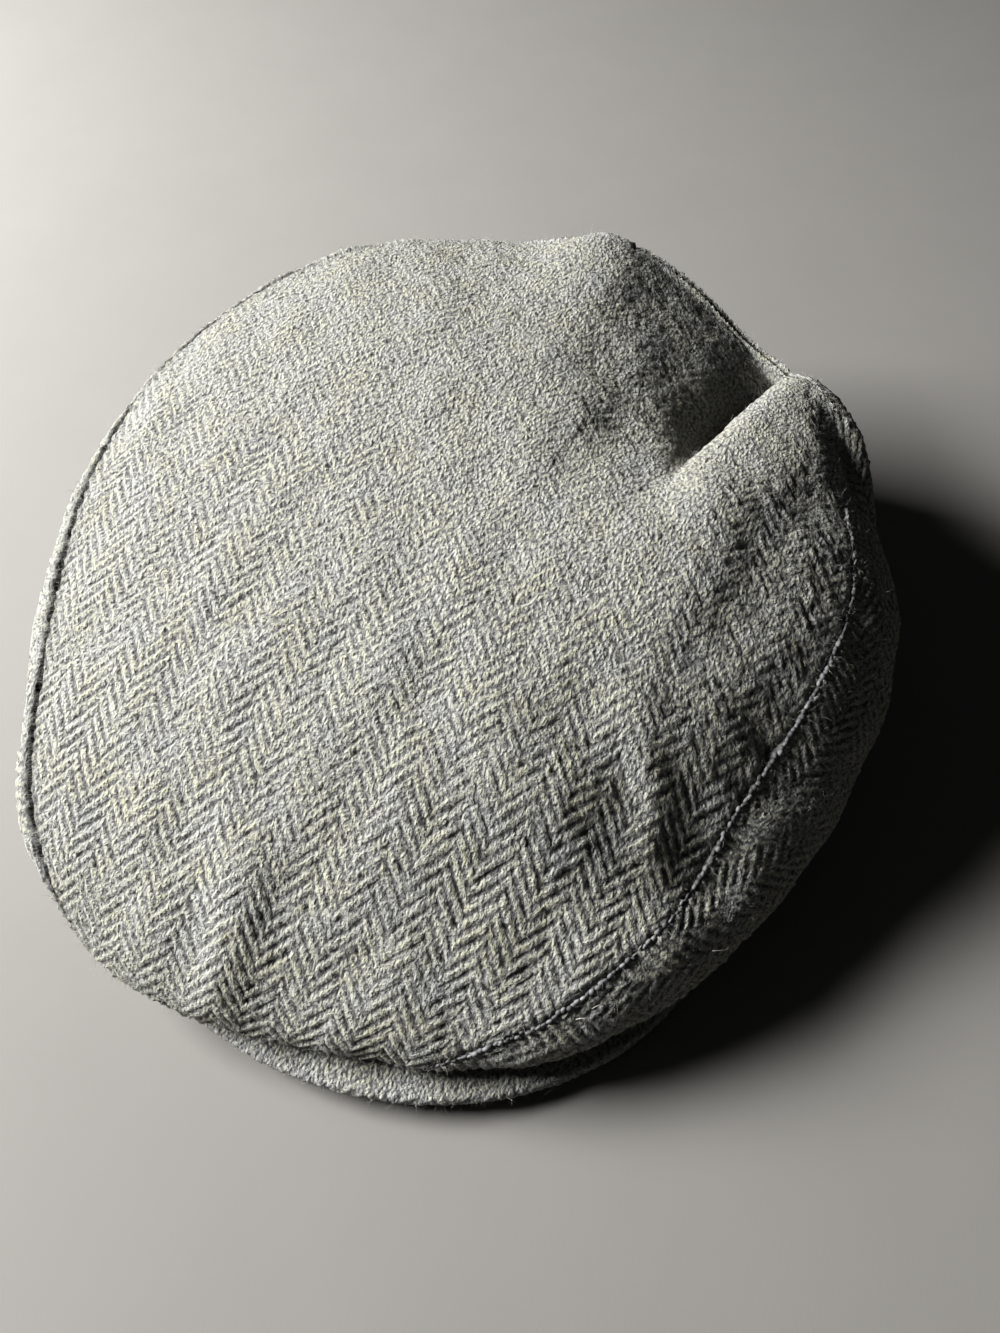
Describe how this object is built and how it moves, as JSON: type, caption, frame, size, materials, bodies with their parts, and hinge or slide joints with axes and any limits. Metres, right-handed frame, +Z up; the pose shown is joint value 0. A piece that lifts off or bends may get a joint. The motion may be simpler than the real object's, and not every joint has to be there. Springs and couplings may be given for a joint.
{
  "type": "flat cap",
  "caption": "Soft herringbone tweed flat cap: a puffed crown dented at the back, sewn side panels and a short stiff peak, lying as it was set down.",
  "frame": {"origin": "under the middle of the whole cap, on the surface that the rim rests on", "axes": "+Z up, -Y towards the peak, +X to the wearer's left"},
  "size_m": [0.2378, 0.2498, 0.0778],
  "materials": {
    "tweed_top": "matte herringbone wool tweed, cream and dark grey",
    "tweed_side": "matte herringbone wool tweed, cream and dark grey",
    "tweed_peak": "matte herringbone wool tweed over a stiff board"
  },
  "bodies": {
    "root": {"top_panel": "tweed_top", "side_panel_right": "tweed_side", "side_panel_left": "tweed_side", "peak": "tweed_peak"}
  },
  "joints": []
}
